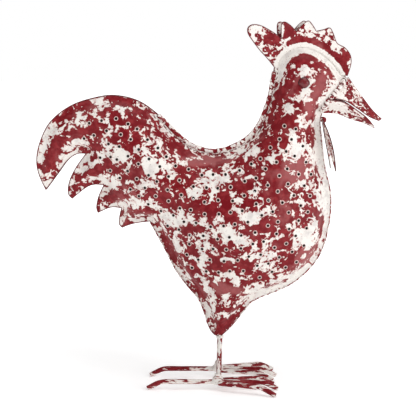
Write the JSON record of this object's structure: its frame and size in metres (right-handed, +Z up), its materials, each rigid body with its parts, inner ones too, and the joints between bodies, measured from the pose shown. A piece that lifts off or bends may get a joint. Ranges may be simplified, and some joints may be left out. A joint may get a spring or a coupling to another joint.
{
  "type": "sheet metal rooster figure",
  "caption": "Standing rooster figure of two punched, formed sheet halves, with sheet comb, beak and wattles, on welded rod legs and splayed toes.",
  "frame": {"origin": "on the ground, under the middle of the bird's length and on its middle plane", "axes": "+X the way the bird faces, +Y its left side, +Z up"},
  "size_m": [0.325, 0.093, 0.348],
  "materials": {
    "body_paint": "distressed satin paint, red rubbed through to warm white",
    "seam_paint": "distressed satin paint, red rubbed through to warm white",
    "comb_paint": "distressed satin paint, red rubbed through to warm white",
    "beak_paint": "distressed satin paint, red rubbed through to warm white",
    "eye_paint": "distressed satin paint, red rubbed through to warm white",
    "wattle_paint": "distressed satin paint, red rubbed through to warm white",
    "leg_paint": "distressed satin paint, red rubbed through to warm white",
    "bare_steel": "oiled mill finish"
  },
  "bodies": {
    "root": {"right_body_shell": "body_paint", "left_body_shell": "body_paint", "back_seam_braze": "seam_paint", "breast_seam_braze": "seam_paint", "rump_seam_braze": "seam_paint", "right_beak_braze": "seam_paint", "left_beak_braze": "seam_paint", "throat_braze": "seam_paint", "right_comb_sheet": "comb_paint", "left_comb_sheet": "comb_paint", "upper_beak": "beak_paint", "lower_beak": "beak_paint", "right_eye_rivet": "eye_paint", "left_eye_rivet": "eye_paint", "right_wattle": "wattle_paint", "left_wattle": "wattle_paint", "right_leg": "leg_paint", "left_leg": "leg_paint", "hip_braze": "leg_paint", "right_ankle_weld": "leg_paint", "left_ankle_weld": "leg_paint", "right_outer_toe": "leg_paint", "right_middle_toe": "leg_paint", "right_inner_toe": "leg_paint", "right_back_toe": "leg_paint", "left_outer_toe": "leg_paint", "left_middle_toe": "leg_paint", "left_inner_toe": "leg_paint", "left_back_toe": "leg_paint", "leg_cross_strap": "bare_steel"}
  },
  "joints": []
}
